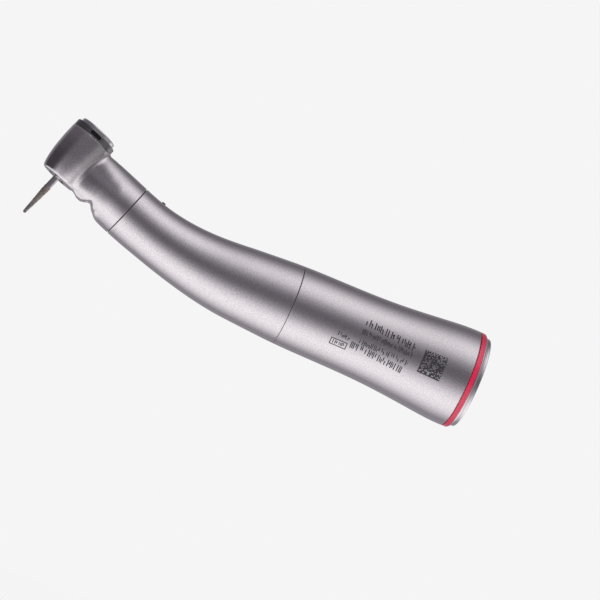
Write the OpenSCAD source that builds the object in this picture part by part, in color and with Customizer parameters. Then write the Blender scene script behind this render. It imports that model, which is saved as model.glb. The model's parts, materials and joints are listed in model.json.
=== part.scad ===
// Contra-angle dental handpiece, speed-increasing 1:5, with light guide,
// push-button chuck and a fitted tapered diamond bur.
// Frame: X = 0 on the rear end face, +X out of the motor coupling, handle
// axis on X, head towards -X, +Z on the push-button side. Millimetres.

/* [Layout] */
// Bend between the handle axis and the neck axis, degrees
bend = 20; // [19:0.5:21]
// Distance from the rear end face to the point where both axes cross
apex_x = 62; // [61.5:0.5:63]
// Distance from that point to the bur axis, along the neck
neck_len = 26.8; // [26.6:0.2:27.4]
// Distance from the bur axis to the head joint, along the neck
head_len = 14.1; // [14:0.1:14.3]
// Distance from the rear end face to the joint between neck and rear sleeve
sleeve_x = 38.6; // [38.2:0.2:39]

/* [Head] */
// Largest radius of the head
head_r = 4.54; // [4.5:0.02:4.6]
// Height of the head top edge above the neck axis
head_top = 5.35; // [5.3:0.05:5.35]
// Depth of the head underside below the neck axis
head_bottom = 4.5; // [4.45:0.05:4.6]
// Radius of the screwed cap ring
cap_r = 4.48; // [4.46:0.02:4.52]
// Radius of the push button
button_r = 3.88; // [3.84:0.02:3.9]
// Height of the push button top above the neck axis
button_top = 7.4; // [7.3:0.05:7.6]
// Travel of the push button
button_travel = 0.4; // [0.3:0.05:0.4]

/* [Bur] */
// Shank radius
shank_r = 0.8; // [0.79:0.005:0.8]
// Distance from the neck axis to the tip of the bur
bur_tip = 13.65; // [12.5:0.1:15]
// Distance from the neck axis to the start of the grit
grit_start = 6.95; // [6.5:0.1:7.5]
// Radius at the start of the grit
grit_r = 0.73; // [0.6:0.02:0.78]
// Radius of the rounded tip
tip_r = 0.36; // [0.3:0.02:0.45]

/* [Gears] */
// Teeth of the internal bevel gear
z1 = 40; // [40:1:40]
// Teeth of the bevel pinion
z2 = 10; // [10:1:10]
// Module of the bevel pair at its large end
m1 = 0.2; // [0.19:0.005:0.2]
// Face width of the bevel pair, along the cone
face1 = 1.6; // [1.4:0.1:1.7]
// Teeth of the crown gear
z3 = 15; // [15:1:15]
// Teeth of the spindle pinion
z4 = 12; // [12:1:12]
// Module of the crown gear pair
m2 = 0.3; // [0.3:0.01:0.3]
// Pressure angle, degrees
pa = 25; // [24:1:25]
// Tooth gap left between flanks
backlash = 0.03; // [0.02:0.01:0.05]

/* [Shell] */
// Wall thickness of the neck sheath
wall = 0.55; // [0.5:0.05:0.6]
// Largest radius of the rear sleeve
rear_r = 9.77; // [9.7:0.01:9.85]
// Width of the colour ring
colour_w = 1.0; // [0.9:0.05:1.05]
// Running gap between neighbouring parts
gap = 0.02; // [0.015:0.005:0.02]

/* [Coupling] */
// Radius of the coupling mouth
mouth_r = 7.8; // [7.6:0.05:7.85]
// Depth of the coupling mouth
mouth_l = 5; // [4.5:0.25:5]
// Radius of the coupling bore
bore_r = 6; // [5.8:0.05:6]
// Length of the coupling bore
bore_l = 15; // [14:0.5:15]
// Travel of the drive dog
dog_travel = 1.5; // [1:0.1:1.5]

/* [Hidden] */
$fn = 72;
eps = 0.01;
sb = sin(bend);
cb = cos(bend);
hx = -apex_x - neck_len*cb;
hz = neck_len*sb;
run = neck_len - head_len;
bend_r = run/tan(bend/2);
arc_x0 = -apex_x + run;
arc_len = bend_r*bend*PI/180;
sheath_len = arc_len + (-sleeve_x - arc_x0);
// outer radius of the neck along the handle direction
skin_r = [[-74.6, 5.58], [-69, 5.57], [-65, 5.74], [-61, 6.05], [-57, 6.45],
          [-53, 6.89], [-49, 7.27], [-45, 7.56], [-41, 7.83], [-38.6, 7.96]];
// neck part of the head: distance from bur axis, half width, top, underside
neck_sec = [[1.5, 3.0, 5.15, 4.1], [3.4, 3.35, 5.3, 4.2], [4.5, 3.7, 5.34, 4.5],
            [5.4, 4.0, 5.46, 4.76], [6.15, 4.25, 5.5, 4.9], [7.1, 4.55, 5.53, 5.0],
            [7.85, 4.75, 5.55, 5.08], [8.6, 4.95, 5.56, 5.18], [9.46, 5.17, 5.57, 5.3],
            [10.4, 5.4, 5.58, 5.45], [11.2, 5.53, 5.58, 5.56], [14.0, 5.58, 5.58, 5.58],
            [14.08, 5.5, 5.5, 5.5]];
// notch in the underside in front of the light window: distance from bur axis, height
notch = [[5.5, -5.3], [6.15, -4.82], [7.1, -4.15], [7.75, -3.6], [7.95, -3.6],
         [8.93, -4.36], [10.05, -5.15], [10.6, -5.6], [10.6, -7], [5.5, -7]];
guide_r = 0.5;
tube_r = 0.4;
tube_a = 38;
// rolling bearings: ball circle radius, ball radius, number of balls
sp_rp = 2.3; sp_rb = 0.44; sp_n = 8;
cs_rp = 1.72; cs_rb = 0.36; cs_n = 8;
dr_rp = 2.55; dr_rb = 0.56; dr_n = 8;

head_housing();
spray_nozzles();
light_window();
head_orings();
cap_ring();
push_button();
button_spring();
wave_washer();
spindle();
spindle_pinion();
chuck_sleeve();
bur_shank();
bur_diamond();
spindle_front_outer_race();
spindle_front_inner_race();
spindle_rear_outer_race();
spindle_rear_inner_race();
spindle_balls();
spindle_cages();
countershaft();
crown_gear();
countershaft_pinion();
countershaft_housing();
countershaft_front_outer_race();
countershaft_front_inner_race();
countershaft_rear_outer_race();
countershaft_rear_inner_race();
countershaft_balls();
countershaft_cages();
countershaft_spacer();
light_guide();
water_tube();
air_tube();
neck_joint_ring();
neck_sheath();
neck_plug();
rear_sleeve();
sleeve_oring();
drive_shaft();
ring_gear();
ring_gear_hub();
drive_housing();
drive_front_outer_race();
drive_front_inner_race();
drive_rear_outer_race();
drive_rear_inner_race();
drive_balls();
drive_cages();
drive_spacer();
bearing_nut();
drive_dog();
dog_pin();
dog_spring();
coupling_bush();
retaining_ring();
coupling_oring();
colour_ring();
end_ring();

// ---- frames -------------------------------------------------------------
// local z along the handle axis, pointing out of the coupling
module on_x() rotate([0, 90, 0]) children();
// local x along the neck towards the rear, local z along the bur axis
module at_head() translate([hx, 0, hz]) rotate([0, bend, 0]) children();
// local z along the neck towards the rear, measured from the bur axis
module on_neck() at_head() rotate([0, 90, 0]) children();

// neck centre line: arc joined to the straight handle, s = 0 at the head joint
function tilt(s) = s < 0 ? bend : s < arc_len ? bend*(1 - s/arc_len) : 0;
function cx(s) = s < 0 ? arc_x0 - bend_r*sb + s*cb
    : s < arc_len ? arc_x0 - bend_r*sin(tilt(s)) : arc_x0 + s - arc_len;
function cz(s) = s < 0 ? bend_r*(1 - cb) - s*sb
    : s < arc_len ? bend_r*(1 - cos(tilt(s))) : 0;
function skin(s) = lookup(cx(s), skin_r);

// ---- helpers ------------------------------------------------------------
// point of a ring of radius r around centre line point s, shifted by y and n
function ring_pt(s, r, t, y, n) = let (a = tilt(s), u = n + r*sin(t))
    [cx(s) + u*sin(a), y + r*cos(t), cz(s) + u*cos(a)];

module skin_faces(pts, m, n) {
    polyhedron(points = pts, convexity = 6, faces = concat(
        [for (i = [0:m-2]) for (j = [0:n-1]) [i*n+j, (i+1)*n+j, (i+1)*n+(j+1)%n]],
        [for (i = [0:m-2]) for (j = [0:n-1]) [i*n+j, (i+1)*n+(j+1)%n, i*n+(j+1)%n]],
        [[for (j = [0:n-1]) j]],
        [[for (j = [n-1:-1:0]) (m-1)*n+j]]));
}

// solid rod along stations S with radius r, offsets Y and N per station
module rod(S, r, Y, N, n = 10) {
    pts = [for (i = [0:len(S)-1]) for (j = [0:n-1])
        ring_pt(S[i], r, 360*j/n, Y[i], N[i])];
    skin_faces(pts, len(S), n);
}

// hollow sweep along stations S with outer radii RO and inner radii RI
module pipe(S, RO, RI, Y, N, n) {
    m = len(S);
    o = [for (i = [0:m-1]) for (j = [0:n-1]) ring_pt(S[i], RO[i], 360*j/n, Y[i], N[i])];
    q = [for (i = [0:m-1]) for (j = [0:n-1]) ring_pt(S[i], RI[i], 360*j/n, Y[i], N[i])];
    k = m*n;
    e = (m-1)*n;
    polyhedron(points = concat(o, q), convexity = 8, faces = concat(
        [for (i = [0:m-2]) for (j = [0:n-1]) [i*n+j, (i+1)*n+j, (i+1)*n+(j+1)%n]],
        [for (i = [0:m-2]) for (j = [0:n-1]) [i*n+j, (i+1)*n+(j+1)%n, i*n+(j+1)%n]],
        [for (i = [0:m-2]) for (j = [0:n-1]) [k+i*n+j, k+(i+1)*n+(j+1)%n, k+(i+1)*n+j]],
        [for (i = [0:m-2]) for (j = [0:n-1]) [k+i*n+j, k+i*n+(j+1)%n, k+(i+1)*n+(j+1)%n]],
        [for (j = [0:n-1]) [j, (j+1)%n, k+(j+1)%n]],
        [for (j = [0:n-1]) [j, k+(j+1)%n, k+j]],
        [for (j = [0:n-1]) [e+j, k+e+(j+1)%n, e+(j+1)%n]],
        [for (j = [0:n-1]) [e+j, k+e+j, k+e+(j+1)%n]]));
}

// compression spring standing on z, overall height h
module coil(R, w, h, turns, per = 16, n = 8) {
    m = turns*per + 1;
    pitch = (h - 2*w)/turns;
    slope = atan(pitch/(2*PI*R));
    pts = [for (i = [0:m-1]) let (a = 360*i/per, c = w + pitch*i/per)
        for (j = [0:n-1]) let (t = 360*j/n, u = w*cos(t), v = w*sin(t))
            [(R + u)*cos(a) + v*sin(slope)*sin(a),
             (R + u)*sin(a) - v*sin(slope)*cos(a), c + v*cos(slope)]];
    polyhedron(points = pts, convexity = 8, faces = concat(
        [for (i = [0:m-2]) for (j = [0:n-1]) [i*n+j, (i+1)*n+(j+1)%n, (i+1)*n+j]],
        [for (i = [0:m-2]) for (j = [0:n-1]) [i*n+j, i*n+(j+1)%n, (i+1)*n+(j+1)%n]],
        [[for (j = [n-1:-1:0]) j]],
        [[for (j = [0:n-1]) (m-1)*n+j]]));
}

module torus(R, r, z) rotate_extrude() translate([R, z]) circle(r = r, $fn = 32);
module ring(r1, r2, z1, z2) rotate_extrude() translate([r1, z1]) square([r2 - r1, z2 - z1]);
module outer_race(z, w, rs, ro, rp, rb) difference() {
    ring(rs, ro, z, z + w);
    torus(rp, rb + gap, z + w/2);
}
module inner_race(z, w, ri, rs, rp, rb) difference() {
    ring(ri, rs, z, z + w);
    torus(rp, rb + gap, z + w/2);
}
module ball_set(z, n, rp, rb) for (i = [0:n-1]) rotate([0, 0, 360*i/n])
    translate([rp, 0, z]) sphere(r = rb, $fn = 32);
module ball_cage(z, h, r1, r2, n, rp, rb) difference() {
    ring(r1, r2, z - h/2, z + h/2);
    for (i = [0:n-1]) rotate([0, 0, 360*i/n]) translate([r1 - 0.2, 0, z])
        rotate([0, 90, 0]) cylinder(r = rb + 0.03, h = r2 - r1 + 0.4, $fn = 32);
}

// ---- gear tooth forms ---------------------------------------------------
function inv(a) = tan(a)*180/PI - a;
// half angle of a tooth at radius r, for n teeth on pitch radius rp
function half_a(r, rp, n, thin) = let (rb = rp*cos(pa))
    90/n - thin*90/(PI*rp) + inv(pa) - (r > rb ? inv(acos(rb/r)) : 0);
// one closed outline of n external teeth, tooth centred on angle a0
function teeth(rp, n, add, ded, thin, a0) = let (
    rt = rp + add, rr = rp - ded, rb = rp*cos(pa), rm = max(rb, rr + eps),
    ht = half_a(rt, rp, n, thin), hp = half_a(rp, rp, n, thin),
    hb = half_a(rm, rp, n, thin))
    [for (i = [0:n-1]) for (q = [[rr, -hb], [rm, -hb], [rp, -hp], [rt, -ht],
        [rt, ht], [rp, hp], [rm, hb], [rr, hb]])
        let (a = a0 + 360*i/n + q[1]) [q[0]*cos(a), q[0]*sin(a)]];

// bevel pair: both cones share the point where the axes cross
d2 = atan(sb/(z1/z2 - cb));
d1 = d2 + bend;
cone = m1*z1/2/sin(d1);
big1 = cone*cos(d1);
big2 = cone*cos(d2);
shrink = (cone - face1)/cone;
// radius in the large end plane of a point u outside the pitch cone
function plane_r(u, d) = let (r = cone*sin(d) + u*cos(d), z = cone*cos(d) - u*sin(d))
    r/z*cone*cos(d);
// bevel tooth outline in the large end plane
function bevel(n, d, add, ded, thin, a0) = let (
    rv = cone*tan(d), rb = rv*cos(pa), nv = n/cos(d),
    us = ded > 0 && rv - ded < rb
        ? [-ded, rb - rv, 0, add] : [-ded, -ded/2, 0, add])
    [for (i = [0:n-1]) for (k = [0:7]) let (
        j = k < 4 ? k : 7 - k, u = us[j],
        h = half_a(max(rv + u, rb), rv, nv, thin)/cos(d),
        a = a0 + 360*i/n + (k < 4 ? -h : h), r = plane_r(u, d))
        [r*cos(a), r*sin(a)]];

// crown gear tooth: flanks follow the spindle pinion in each plane at radius R
p4 = m2*z4/2;
b4 = p4*cos(pa);
root4 = p4 - 1.0*m2;
tip4 = p4 + 0.8*m2;
crown_in = 2.1;
crown_out = 2.5;
crown_tip = root4 + 0.06;
crown_root = tip4 + 0.06;
function crown_h(R, x) = let (rp = R*z4/z3, a = acos(b4/rp),
    s = 2*rp*(PI/(2*z4) + (inv(pa) - inv(a))*PI/180))
    max(0.03, (2*PI*rp/z4 - s)/2 - backlash + (x - rp)*tan(a));
module crown_tooth() {
    L = [for (k = [0:3]) crown_in + (crown_out - crown_in)*k/3];
    xs = [crown_tip, crown_root + 0.05];
    pts = [for (R = L) for (q = [[0, -1], [1, -1], [1, 1], [0, 1]])
        [xs[q[0]], q[1]*crown_h(R, xs[q[0]]), R]];
    polyhedron(points = pts, convexity = 4, faces = concat(
        [for (i = [0:2]) for (j = [0:3]) [i*4+j, (i+1)*4+j, (i+1)*4+(j+1)%4]],
        [for (i = [0:2]) for (j = [0:3]) [i*4+j, (i+1)*4+(j+1)%4, i*4+(j+1)%4]],
        [[0, 1, 2, 3]], [[15, 14, 13, 12]]));
}

// ---- head ---------------------------------------------------------------
module head_housing() color("silver") at_head() difference() {
    union() {
        rotate_extrude() polygon([[0, -head_bottom], [2.95, -head_bottom],
            [3.2, 0.06 - head_bottom], [3.42, 0.22 - head_bottom], [3.58, -4.0], [3.84, -3.2],
            [4.06, -2.3], [4.22, -1.3], [4.36, -0.2], [4.46, 1.2], [head_r - 0.02, 2.4],
            [head_r, 3.4], [head_r, 4.9], [head_r - 0.06, head_top], [0, head_top]]);
        head_neck();
    }
    translate([0, 0, -4.05]) cylinder(r = 3.12, h = 8.95);
    translate([0, 0, 4.86]) cylinder(r = 3.62, h = 1);
    translate([0, 0, -6]) cylinder(r = 1.9, h = 2.2);
    torus(3.32, 0.22, -3.33);
    torus(3.32, 0.22, 3.85);
    rotate([0, 90, 0]) cylinder(r = 2.62, h = 6.25);
    translate([6.2, 0, 0]) rotate([0, 90, 0]) cylinder(r = 3.02, h = 5.4);
    translate([11.5, 0, 0]) rotate([0, 90, 0]) cylinder(r = 5.1, h = 3);
    translate([7, 0, -4.25]) rotate([0, 90, 0]) cylinder(r = guide_r + gap, h = 4.6);
    for (q = [-1, 1]) translate([10.7, q*4.3*sin(tube_a), -4.3*cos(tube_a)])
        rotate([0, 90, 0]) cylinder(r = tube_r + gap, h = 0.9);
    for (a = [60, 180, 300]) rotate([0, 0, a]) translate([2.5, 0, -5])
        cylinder(r = 0.26, h = 1.1);
}
module head_neck() {
    n = 36;
    m = len(neck_sec);
    pts = [for (q = neck_sec) for (j = [0:n-1]) let (t = 360*j/n)
        [q[0], q[1]*cos(t), (sin(t) > 0 ? q[2] : q[3])*sin(t)]];
    difference() {
        skin_faces(pts, m, n);
        rotate([90, 0, 0]) linear_extrude(height = 14, center = true) polygon(notch);
    }
}
module spray_nozzles() color("gray") at_head() for (a = [60, 180, 300])
    rotate([0, 0, a]) translate([2.5, 0, 0]) ring(0.12, 0.25, -head_bottom, -4.08);
module light_window() color("white") at_head() difference() {
    translate([7.6, 0, -4.25]) rotate([0, 90, 0]) cylinder(r = guide_r, h = 3.85);
    translate([8.88, 0, -4.3]) rotate([0, 221.5, 0]) translate([-4, -4, 0.02]) cube([8, 8, 4]);
}
module head_orings() color("black") at_head() {
    torus(3.32, 0.2, -3.33);
    torus(3.32, 0.2, 3.85);
}
module cap_ring() color("dimgray") at_head() difference() {
    rotate_extrude() polygon([[1.7, 4.95], [3.58, 4.95], [3.58, head_top + gap],
        [cap_r - 0.04, head_top + gap], [cap_r, head_top + 0.08], [cap_r, 6.42],
        [cap_r - 0.18, 6.6], [button_r + 0.04, 6.6], [button_r + 0.04, 6.5], [4.08, 6.5],
        [4.08, 5.85], [3.0, 5.85], [3.0, 5.15], [1.7, 5.15]]);
    for (a = [0, 180]) rotate([0, 0, a]) translate([0, -6, 6.02]) {
        translate([-0.85, 0, -0.37]) cube([1.7, 1.75, 0.74]);
        for (q = [-0.85, 0.85]) translate([q, 0, 0]) rotate([-90, 0, 0])
            cylinder(r = 0.37, h = 1.75, $fn = 36);
    }
}
module push_button() color("silver") at_head() rotate_extrude() polygon([
    [0, 5.45], [1, 5.45], [1, 6.33], [4.05, 6.33], [4.05, 6.48], [button_r, 6.48],
    [button_r, button_top - 0.34], [button_r - 0.06, button_top - 0.16],
    [button_r - 0.2, button_top - 0.05], [button_r - 0.4, button_top],
    [button_r - 0.75, button_top - 0.02], [button_r - 1, button_top - 0.1],
    [0, button_top - 0.14]]);
module button_spring() color("lightgray") at_head() translate([0, 0, 5.17])
    coil(2.4, 0.13, 1.14, 2);
module wave_washer() color("lightgray") at_head() ring(2.65, 3.05, 4.74, 4.91);

module spindle() color("silver") at_head() rotate_extrude() polygon([
    [1.12, -4.2], [1.4, -4.2], [1.46, -4.14], [1.46, 1.5], [1.32, 1.5], [1.32, 4.9],
    [0, 4.9], [0, 4.72], [1.12, 4.72]]);
module spindle_pinion() color("goldenrod") at_head() translate([0, 0, 1.7])
    linear_extrude(height = 1.2) difference() {
        polygon(teeth(p4, z4, 0.8*m2, 1.0*m2, 0, 180/z4));
        circle(r = 1.33);
    }
module chuck_sleeve() color("gray") at_head() difference() {
    ring(shank_r + gap, 1.1, -4.15, 4.3);
    for (a = [0, 120, 240]) rotate([0, 0, a]) translate([0.5, -0.08, -4.6]) cube([1, 0.16, 4.8]);
}
function tip_arc(r) = [for (i = [0:5]) [r*cos(18*i), -(bur_tip - tip_r) - r*sin(18*i)]];
module bur_shank() color("silver") at_head() rotate_extrude() polygon(concat([
    [0, 4.68], [shank_r - 0.06, 4.68], [shank_r, 4.6], [shank_r, -4.2], [0.64, -4.45],
    [0.64, -grit_start], [grit_r - 0.09, -grit_start - 0.01]], tip_arc(tip_r - 0.09)));
module bur_diamond() color("tan") at_head() rotate_extrude() polygon(concat([
    [grit_r - 0.08, -grit_start - 0.02], [grit_r, -grit_start - 0.05]], tip_arc(tip_r),
    [for (i = [5:-1:0]) tip_arc(tip_r - 0.08)[i]]));

module spindle_front_outer_race() color("gray") at_head() outer_race(-4.03, 1.4, 2.6, 3.1, sp_rp, sp_rb);
module spindle_front_inner_race() color("gray") at_head() inner_race(-4.03, 1.4, 1.47, 2.0, sp_rp, sp_rb);
module spindle_rear_outer_race() color("gray") at_head() outer_race(3.0, 1.7, 2.6, 3.1, sp_rp, sp_rb);
module spindle_rear_inner_race() color("gray") at_head() inner_race(3.0, 1.7, 1.33, 2.0, sp_rp, sp_rb);
module spindle_balls() color("white") at_head() {
    ball_set(-3.33, sp_n, sp_rp, sp_rb);
    ball_set(3.85, sp_n, sp_rp, sp_rb);
}
module spindle_cages() color("peru") at_head() {
    ball_cage(-3.33, 1.2, 2.1, 2.5, sp_n, sp_rp, sp_rb);
    ball_cage(3.85, 1.2, 2.1, 2.5, sp_n, sp_rp, sp_rb);
}

// ---- countershaft -------------------------------------------------------
cs_a = neck_len + big2*shrink;
cs_b = neck_len + big2;
module countershaft() color("silver") on_neck() rotate_extrude() polygon([
    [0, 2.2], [0.85, 2.2], [0.9, 2.25], [0.9, cs_a - 2.1], [0.5, cs_a - 1.3],
    [0.5, cs_a - gap], [0.42*shrink - gap, cs_a - gap], [0.42 - gap, cs_b],
    [0.42 - gap, cs_b + 0.15], [0, cs_b + 0.15]]);
module crown_gear() color("goldenrod") at_head() difference() {
    union() {
        rotate([0, 90, 0]) rotate_extrude() polygon([[0, crown_root], [2.56, crown_root],
            [2.56, 2.8], [2.4, 2.95], [1.35, 2.95], [1.35, 4.3], [0, 4.3]]);
        for (i = [0:z3-1]) rotate([360*i/z3, 0, 0]) crown_tooth();
    }
    rotate([0, 90, 0]) cylinder(r = 0.91, h = 6);
}
module countershaft_pinion() color("goldenrod") on_neck() translate([0, 0, cs_b])
    rotate([180, 0, 0]) linear_extrude(height = cs_b - cs_a, scale = shrink) difference() {
        polygon(bevel(z2, d2, 0.8*m1, 1.05*m1, backlash, 0));
        circle(r = 0.42, $fn = 24);
    }
module countershaft_housing() color("slategray") on_neck() rotate_extrude() polygon([
    [1.9, 6.3], [3.0, 6.3], [3.0, 22.1], [2.62, 22.1], [2.62, 20.36], [1.9, 20.36]]);
module countershaft_front_outer_race() color("gray") on_neck() outer_race(4.4, 1.6, 2.03, 2.6, cs_rp, cs_rb);
module countershaft_front_inner_race() color("gray") on_neck() inner_race(4.4, 1.6, 0.91, 1.42, cs_rp, cs_rb);
module countershaft_rear_outer_race() color("gray") on_neck() outer_race(20.4, 1.6, 2.03, 2.6, cs_rp, cs_rb);
module countershaft_rear_inner_race() color("gray") on_neck() inner_race(20.4, 1.6, 0.91, 1.42, cs_rp, cs_rb);
module countershaft_balls() color("white") on_neck() {
    ball_set(5.2, cs_n, cs_rp, cs_rb);
    ball_set(21.2, cs_n, cs_rp, cs_rb);
}
module countershaft_cages() color("peru") on_neck() {
    ball_cage(5.2, 1.1, 1.52, 1.93, cs_n, cs_rp, cs_rb);
    ball_cage(21.2, 1.1, 1.52, 1.93, cs_n, cs_rp, cs_rb);
}
module countershaft_spacer() color("silver") on_neck() ring(0.91, 1.3, 6.02, 20.38);

// ---- light guide and coolant tubes --------------------------------------
guide_s = concat([-2.55, -1.2, 0], [for (i = [1:20]) 1.25*i],
    [arc_len + 1, sheath_len, sheath_len + 6, sheath_len + 11.5]);
function guide_off(s) = min(5.5, s < 0 ? 4.25 : 4.25 + 0.06*s, s < 0 ? 9 : skin(s) - wall - 0.62);
module light_guide() color("lightcyan") rod(guide_s, guide_r,
    [for (s = guide_s) 0], [for (s = guide_s) -guide_off(s)], 12);
tube_s = concat([-3.3, -1.2, 0], [for (i = [1:20]) 1.25*i],
    [arc_len + 1, sheath_len, sheath_len + 6, sheath_len + 11.5]);
function tube_off(s) = min(5.8, s < 0 ? 4.3 : 4.3 + 0.07*s, s < 0 ? 9 : skin(s) - wall - 0.52);
module side_tube(q) pipe(tube_s, [for (s = tube_s) tube_r], [for (s = tube_s) 0.25],
    [for (s = tube_s) q*tube_off(s)*sin(tube_a)], [for (s = tube_s) -tube_off(s)*cos(tube_a)], 8);
module water_tube() color("steelblue") side_tube(1);
module air_tube() color("lightsteelblue") side_tube(-1);

// ---- neck ---------------------------------------------------------------
module neck_joint_ring() color("gray") on_neck() rotate_extrude() polygon([
    [4.8, 11.6], [5.08, 11.6], [5.08, head_len - 0.05], [4.92, head_len + 0.05],
    [4.92, head_len + 2.6], [4.8, head_len + 2.6]]);
sheath_s = concat([0.04, 0.14, 0.7], [for (i = [1:20]) 1.25*i],
    [arc_len + 2.5, arc_len + 5, arc_len + 7.5, sheath_len - 0.14, sheath_len - 0.04]);
module neck_sheath() color("silver") difference() {
    pipe(sheath_s, [for (i = [0:len(sheath_s)-1])
            skin(sheath_s[i]) - (i == 0 || i == len(sheath_s)-1 ? 0.08 : 0)],
        [for (s = sheath_s) skin(s) - wall], [for (s = sheath_s) 0], [for (s = sheath_s) 0], 44);
    plug_at() cylinder(r = 0.41, h = 9);
}
plug_s = 4.5;
module plug_at() translate([cx(plug_s), 0, cz(plug_s)]) rotate([0, tilt(plug_s), 0]) children();
module neck_plug() color("gray") plug_at() rotate_extrude() polygon([
    [0, skin(plug_s) - 0.5], [0.39, skin(plug_s) - 0.5], [0.39, skin(plug_s) + 0.16],
    [0.3, skin(plug_s) + 0.25], [0, skin(plug_s) + 0.25]]);

// ---- rear sleeve --------------------------------------------------------
module rear_sleeve() color("silver") difference() {
    on_x() rotate_extrude() polygon([[6.5, -42.5], [7.05, -42.5], [7.05, -sleeve_x + 0.04],
        [7.88, -sleeve_x + 0.04], [7.96, -sleeve_x + 0.14], [8.08, -34], [8.13, -28.5],
        [8.22, -23.7], [8.44, -18.8], [8.74, -15], [9.1, -11.2], [rear_r - 0.26, -7.3],
        [rear_r - 0.1, -5.4], [rear_r, -3.6], [rear_r - 0.02, -2.36], [rear_r - 0.1, -2.26],
        [8.65, -2.26], [8.65, -5.1], [8.56, -6.2], [7.96, -12.1], [7.44, -20], [7.34, -27],
        [7.34, -36], [6.5, -38.5]]);
    on_x() torus(6.95, 0.26, -41);
}
module sleeve_oring() color("black") on_x() torus(6.95, 0.24, -41);

// ---- drive line ---------------------------------------------------------
module drive_shaft() color("silver") difference() {
    on_x() rotate_extrude() polygon([[0, -51.4], [1.44, -51.4], [1.5, -51.34], [1.5, -30.95],
        [2, -30.95], [2, -30.5], [1.2, -30.5], [1.2, -22.4], [1.1, -22.3], [0, -22.3]]);
    translate([-25.5, 0, 0]) rotate([90, 0, 0]) cylinder(r = 0.36, h = 6, center = true, $fn = 24);
}
module ring_gear() color("goldenrod") translate([-apex_x, 0, 0]) on_x()
    translate([0, 0, big1]) rotate([180, 0, 0])
    linear_extrude(height = big1*(1 - shrink), scale = shrink) difference() {
        circle(r = 4.5, $fn = 80);
        polygon(bevel(z1, d1, 1.05*m1, 0.7*m1, -backlash, 0));
    }
module ring_gear_hub() color("goldenrod") on_x() rotate_extrude() polygon([
    [0, -52.4], [4.2, -52.4], [4.2, -apex_x + big1 + 0.01], [4.5, -apex_x + big1 + 0.01],
    [4.5, -51.6], [4.4, -51.5], [2.3, -51.5], [2.3, -49.6], [1.51, -49.6], [1.51, -51.5], [0, -51.5]]);
module drive_housing() color("slategray") difference() {
    on_x() rotate_extrude() polygon([[3.63, -49.5], [4.55, -49.5], [4.55, -30], [7.3, -30],
        [7.3, -27.06], [3.63, -27.06], [3.63, -33.32], [2.9, -33.32], [2.9, -47.1], [3.63, -47.1]]);
    translate([-31, 0, -5.5]) rotate([0, 90, 0]) cylinder(r = guide_r + gap, h = 5);
    for (q = [-1, 1]) translate([-31, q*5.8*sin(tube_a), -5.8*cos(tube_a)])
        rotate([0, 90, 0]) cylinder(r = tube_r + gap, h = 5);
}
module drive_front_outer_race() color("gray") on_x() outer_race(-49.4, 2.2, 3.02, 3.61, dr_rp, dr_rb);
module drive_front_inner_race() color("gray") on_x() inner_race(-49.4, 2.2, 1.51, 2.1, dr_rp, dr_rb);
module drive_rear_outer_race() color("gray") on_x() outer_race(-33.2, 2.2, 3.02, 3.61, dr_rp, dr_rb);
module drive_rear_inner_race() color("gray") on_x() inner_race(-33.2, 2.2, 1.51, 2.1, dr_rp, dr_rb);
module drive_balls() color("white") on_x() {
    ball_set(-48.3, dr_n, dr_rp, dr_rb);
    ball_set(-32.1, dr_n, dr_rp, dr_rb);
}
module drive_cages() color("peru") on_x() {
    ball_cage(-48.3, 1.6, 2.28, 2.82, dr_n, dr_rp, dr_rb);
    ball_cage(-32.1, 1.6, 2.28, 2.82, dr_n, dr_rp, dr_rb);
}
module drive_spacer() color("silver") on_x() ring(1.51, 2.0, -47.18, -33.22);
module bearing_nut() color("gray") difference() {
    on_x() ring(2.3, 3.61, -30.96, -29.9);
    for (a = [0, 90]) rotate([a, 0, 0]) translate([-30.3, -0.5, -4]) cube([1, 1, 8]);
}
module drive_dog() color("dimgray") difference() {
    on_x() rotate_extrude() polygon([[1.2 + gap, -26.4], [2.1, -26.4], [2.2, -26.3],
        [2.2, -20.9], [2.1, -20.8], [1.2 + gap, -20.8]]);
    translate([-25.9, -3, -0.38]) cube([0.8 + dog_travel, 6, 0.76]);
    translate([-22, -0.65, -3]) cube([2, 1.3, 6]);
}
module dog_pin() color("gray") translate([-25.5, 0, 0]) rotate([90, 0, 0])
    cylinder(r = 0.345, h = 4.1, center = true, $fn = 24);
module dog_spring() color("lightgray") translate([-30.48, 0, 0]) on_x() coil(1.65, 0.2, 4.06, 4);

// ---- coupling -----------------------------------------------------------
module coupling_bush() color("gray") difference() {
    on_x() rotate_extrude() polygon([[6.3, -27.04], [7.3, -27.04], [7.4, -20], [7.92, -12.1],
        [8.52, -6.2], [8.52, -mouth_l - 0.03], [bore_r, -mouth_l - 0.03],
        [bore_r, -mouth_l - bore_l], [6.3, -mouth_l - bore_l]]);
    on_x() ring(6.9, 7.5, -5.62, -4);
    on_x() ring(6, 6.72, -22.4, -21.7);
}
module retaining_ring() color("lightgray") on_x() translate([0, 0, -22.05]) rotate([0, 0, 195])
    rotate_extrude(angle = 330) translate([6.38, 0]) circle(r = 0.3, $fn = 24);
module coupling_oring() color("black") on_x() torus(7.2, 0.27, -5.33);
module colour_ring() color("crimson") on_x() rotate_extrude() polygon([
    [8.64, -1.2 - colour_w], [9.66, -1.2 - colour_w], [9.73, -1.13 - colour_w],
    [9.7, -1.29], [9.63, -1.22], [8.64, -1.22]]);
module end_ring() color("gainsboro") on_x() rotate_extrude() polygon([
    [mouth_r, -mouth_l], [8.62, -mouth_l], [8.62, -1.2], [9.5, -1.2], [9.53, -1.06],
    [9.12, -0.7], [8.95, -0.66], [8.95, -0.56], [9.05, -0.5], [9.05, -0.12], [8.94, 0],
    [mouth_r, 0]]);
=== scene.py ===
"""Looks of a contra-angle dental handpiece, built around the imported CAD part."""

import json
import math

import bpy
import numpy as np
from mathutils import Matrix, Vector


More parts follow.
